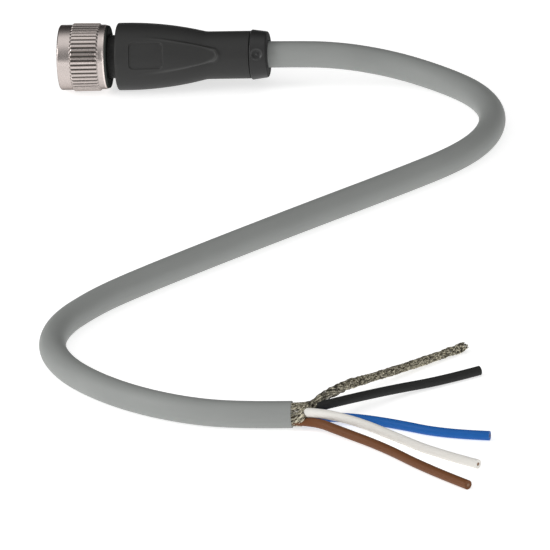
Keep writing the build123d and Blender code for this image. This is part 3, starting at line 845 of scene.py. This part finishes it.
def pigtail_wires(line, hand, angle, v):
    """Wires wound about a line in both hands, (strands, points, 3), and where each bulges: a cosine that
    runs once for each group of the other hand. The bundle is fuller at its root and splays at its end."""
    strands, count = len(hand), v.shape[1]
    ends = 1 - UNEVEN_ENDS * rng.uniform(0, 1, (strands, 1)) * smooth((v - 0.7) / 0.3)
    points, left, upward = (part.reshape(strands, count, 3) for part in along_line(line, (v * ends).ravel()))
    phase = rng.uniform(-0.5, 0.5, (strands, 1))
    bulge = hand * np.cos(FULL_TURN * BRAID_GROUPS * PIGTAIL_TURNS * v + phase)
    splay = 1 + smooth((v - 0.8) / 0.2) * (0.35 * np.cos(3 * angle) - 0.2)
    full = 1 + 0.45 * (1 - smooth((v - 0.08) / 0.42))
    off = (0.86 + 0.14 * bulge + 0.06 * np.sin(19 * v + 2 * angle)) * splay * full
    wobble = 0.2 * np.sin(9 * v + rng.uniform(0, 6.28, (strands, 1)))
    turn = angle + hand * FULL_TURN * PIGTAIL_TURNS * v + wobble
    sideways = (PIGTAIL_HALF_WIDTH * off * np.cos(turn))[..., None] * left
    upwards = (PIGTAIL_HALF_HEIGHT * off * np.sin(turn))[..., None] * upward
    return points + sideways + upwards, bulge


def mouth_wires(hand, angle, u):
    """Wires that leave the cut end all round, a cylinder of the braid's radius, and slide round it to one
    side, (strands, points, 3), and their weave, a cosine along the cable."""
    begin = np.mod(angle + np.pi / 2, FULL_TURN) - np.pi / 2
    slide = smooth((u - 0.07) / 0.34)
    around = PIGTAIL_SIDE + (begin - PIGTAIL_SIDE) * (1 - slide) + hand * MOUTH_TWIST * u
    weave = hand * np.cos(FULL_TURN * MOUTH_WEAVES * u)
    out = BRAID_RADIUS + 0.4 * slide + 0.07 * weave
    x = CUT_END[0] - MOUTH_BACK + MOUTH_REACH * u + 0 * around
    wires = np.stack([x, CUT_END[1] + out * np.cos(around), CUT_END[2] + out * np.sin(around)], -1)
    return wires, weave


def braid():
    """Shield: groups of wires wound in both hands as a sock. It leaves the cut end all round, slides over the
    cores to one side and narrows to a pigtail that splays at its end; where the hands cross, one bulges."""
    strands = 2 * BRAID_GROUPS * GROUP_WIRES
    hand = np.repeat([1.0, -1.0], strands // 2)[:, None]
    in_group = (np.arange(GROUP_WIRES) - GROUP_WIRES / 2 + 0.5) * WIRE_SPACING
    in_turn = (np.arange(BRAID_GROUPS)[:, None] + in_group).ravel() / BRAID_GROUPS
    angle = FULL_TURN * np.tile(in_turn, 2)[:, None] + rng.uniform(-0.05, 0.05, (strands, 1))
    u = np.linspace(0, 1, WIRE_POINTS)[None, :]
    v = np.clip((u - LEAVING) / (1 - LEAVING), 0, 1)
    line = centreline(np.array(PIGTAIL) + CUT_FLOOR)
    bundle, bulge = pigtail_wires(line, hand, angle, v)
    mouth, weave = mouth_wires(hand, angle, u)
    gather = smooth((u - 0.16) / 0.26)
    lines = mouth * (1 - gather)[..., None] + bundle * gather[..., None]
    lines[..., 2] = np.maximum(lines[..., 2], FLOOR_CLEARANCE)
    # Painted shade: where a wire dives under the other hand it is marked to be painted darker.
    under = 0.5 - 0.5 * (weave * (1 - gather) + bulge * gather)
    tone = rng.uniform(0, 1, strands)
    split = int(FREE_FROM * WIRE_POINTS)

    def stretch(name, part, nodes):
        """One object of a stretch of all the wires."""
        tubes = strand_tubes(lines[:, part], WIRE_RADIUS, WIRE_SIDES)
        patches = [(tube, False, True, {"tone": shade, "under": deep[:, None]})
                   for tube, shade, deep in zip(tubes, tone, under[:, part])]
        return piece(name, patches, TINNED, "connector", nodes)

    near = stretch("braid_mouth", slice(None, split + 1), [])
    far = stretch("braid_pigtail", slice(split, None), ["cable_braid"])
    path = along_line(line, v[0])[0][split:]
    return near, far


def cut_face():
    """Dark filler between the cores: a slightly dished disc on the cut end, whose rim runs back inside."""
    radius = np.array([0.0, 0.8, 1.5, 2.0, 2.28, 2.3])[:, None]
    proud = np.array([0.02, 0.03, 0.05, 0.07, 0.09, -0.6])[:, None]
    turn = once_round(48)[None, :]
    disc = np.stack([CUT_END[0] + proud + 0 * turn, CUT_END[1] + radius * np.cos(turn),
                     CUT_END[2] + radius * np.sin(turn)], -1)
    return piece("bundle_filler", [(disc, False, True, {})], FILLER_DARK, "connector")


def hidden_pieces():
    """Pieces that stay as they are, deep inside, get the finish of their metal."""
    for node, finish in (("shield_spring", SPRING), ("shield_sleeve", TURNED), ("crimp_ferrule", TURNED)):
        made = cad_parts[node]
        made.data.materials.clear()
        made.data.materials.append(finish)


def camera():
    """A far camera that sees the connector's axis almost level and its front end turned a little away."""
    turned = math.asin(math.sin(FRONT_AWAY) / math.cos(ELEVATION))
    across, along = math.sin(turned), math.cos(turned)
    back = Vector((across * math.cos(ELEVATION), -along * math.cos(ELEVATION), math.sin(ELEVATION)))
    level = Vector((along, across, 0))
    lifted = back.cross(level)
    roll = math.atan2(lifted.x, level.x) - AXIS_RISE
    right = level * math.cos(roll) + lifted * math.sin(roll)
    up = back.cross(right)
    exit_point = Vector((FRONT_X + CONNECTOR_END, 0, AXIS_Z))
    to_middle_x, to_middle_y = (IMAGE / 2 - pixel for pixel in EXIT_PIXEL)
    middle = exit_point + right * to_middle_x * PIXEL - up * to_middle_y * PIXEL
    aim = middle + back * (Vector((0, 0, AXIS_Z)) - middle).dot(back)
    data = bpy.data.cameras.new("camera")
    data.sensor_width = SENSOR
    data.lens = SENSOR * EYE_DISTANCE / (IMAGE * PIXEL)
    data.clip_start = 0.1
    data.clip_end = 60.0
    made = bpy.data.objects.new("camera", data)
    axes = Matrix((right, up, back)).transposed().to_4x4()
    made.matrix_world = Matrix.Translation((aim + back * EYE_DISTANCE) * MM) @ axes
    bpy.context.scene.collection.objects.link(made)
    bpy.context.scene.camera = made


def area_light(name, place, aim, size, power):
    """A rectangular lamp at a place in metres, turned to face its aim and hidden from the camera."""
    data = bpy.data.lights.new(name, "AREA")
    data.shape = "RECTANGLE"
    data.size, data.size_y = size
    data.energy = power
    made = bpy.data.objects.new(name, data)
    back = (Vector(place) - Vector(aim)).normalized()
    made.matrix_world = Matrix.Translation(place) @ back.to_track_quat("Z", "Y").to_matrix().to_4x4()
    made.visible_camera = False
    bpy.context.scene.collection.objects.link(made)


def paper_floor():
    """Pale floor: a flat grid just under the object."""
    side = np.linspace(-FLOOR_HALF, FLOOR_HALF, FLOOR_COUNT)
    x, y = np.meshgrid(side, side, indexing="ij")
    points = np.stack([x, y, 0 * x - FLOOR_DROP], -1).reshape(-1, 3)
    mesh = bpy.data.meshes.new("floor")
    mesh.from_pydata(points, [], grid_faces(FLOOR_COUNT, FLOOR_COUNT, False, False))
    mesh.materials.append(floor_finish())
    floor = bpy.data.objects.new("floor", mesh)
    bpy.context.scene.collection.objects.link(floor)


def soft_sky():
    """A grey sky, bright near the horizon and overhead, and dimmer behind the object."""
    world = bpy.data.worlds.new("sky")
    world.use_nodes = True
    sky = Nodes(world.node_tree)
    ray = sky.node("ShaderNodeTexCoord", {}, output="Generated")
    height = sky.node("ShaderNodeSeparateXYZ", {}, ray, output="Z")
    away = sky.node("ShaderNodeSeparateXYZ", {}, ray, output="Y")
    stops = [(at, rgb(grey, grey, grey)) for at, grey in SKY_STOPS]
    glow = sky.node("ShaderNodeValToRGB", {"stops": stops}, height)
    dim = sky.node("ShaderNodeMapRange", {"interpolation_type": "SMOOTHSTEP"}, away, 0.05, 0.6, 1.0, 0.25)
    background = world.node_tree.nodes["Background"]
    sky.feed(background.inputs["Color"], glow)
    sky.feed(background.inputs["Strength"], dim)
    bpy.context.scene.world = world


def studio():
    """Pale floor, soft sky and two soft lamps."""
    paper_floor()
    soft_sky()
    area_light("front", place=(0.5, -1.2, 0.7), aim=(0.03, -0.08, 0), size=(0.9, 0.5), power=2.0)
    area_light("left", place=(-0.45, -0.32, 0.32), aim=(0.07, -0.19, 0), size=(0.3, 0.3), power=1.5)
    bpy.context.scene.view_settings.view_transform = "Standard"


coupling_nut()
grip()
inner_mould()
contact_carrier()
socket_contacts()
front_seal()
cable_jacket()
cores()
braid()
cut_face()
hidden_pieces()
camera()
studio()

bpy.context.view_layer.update()
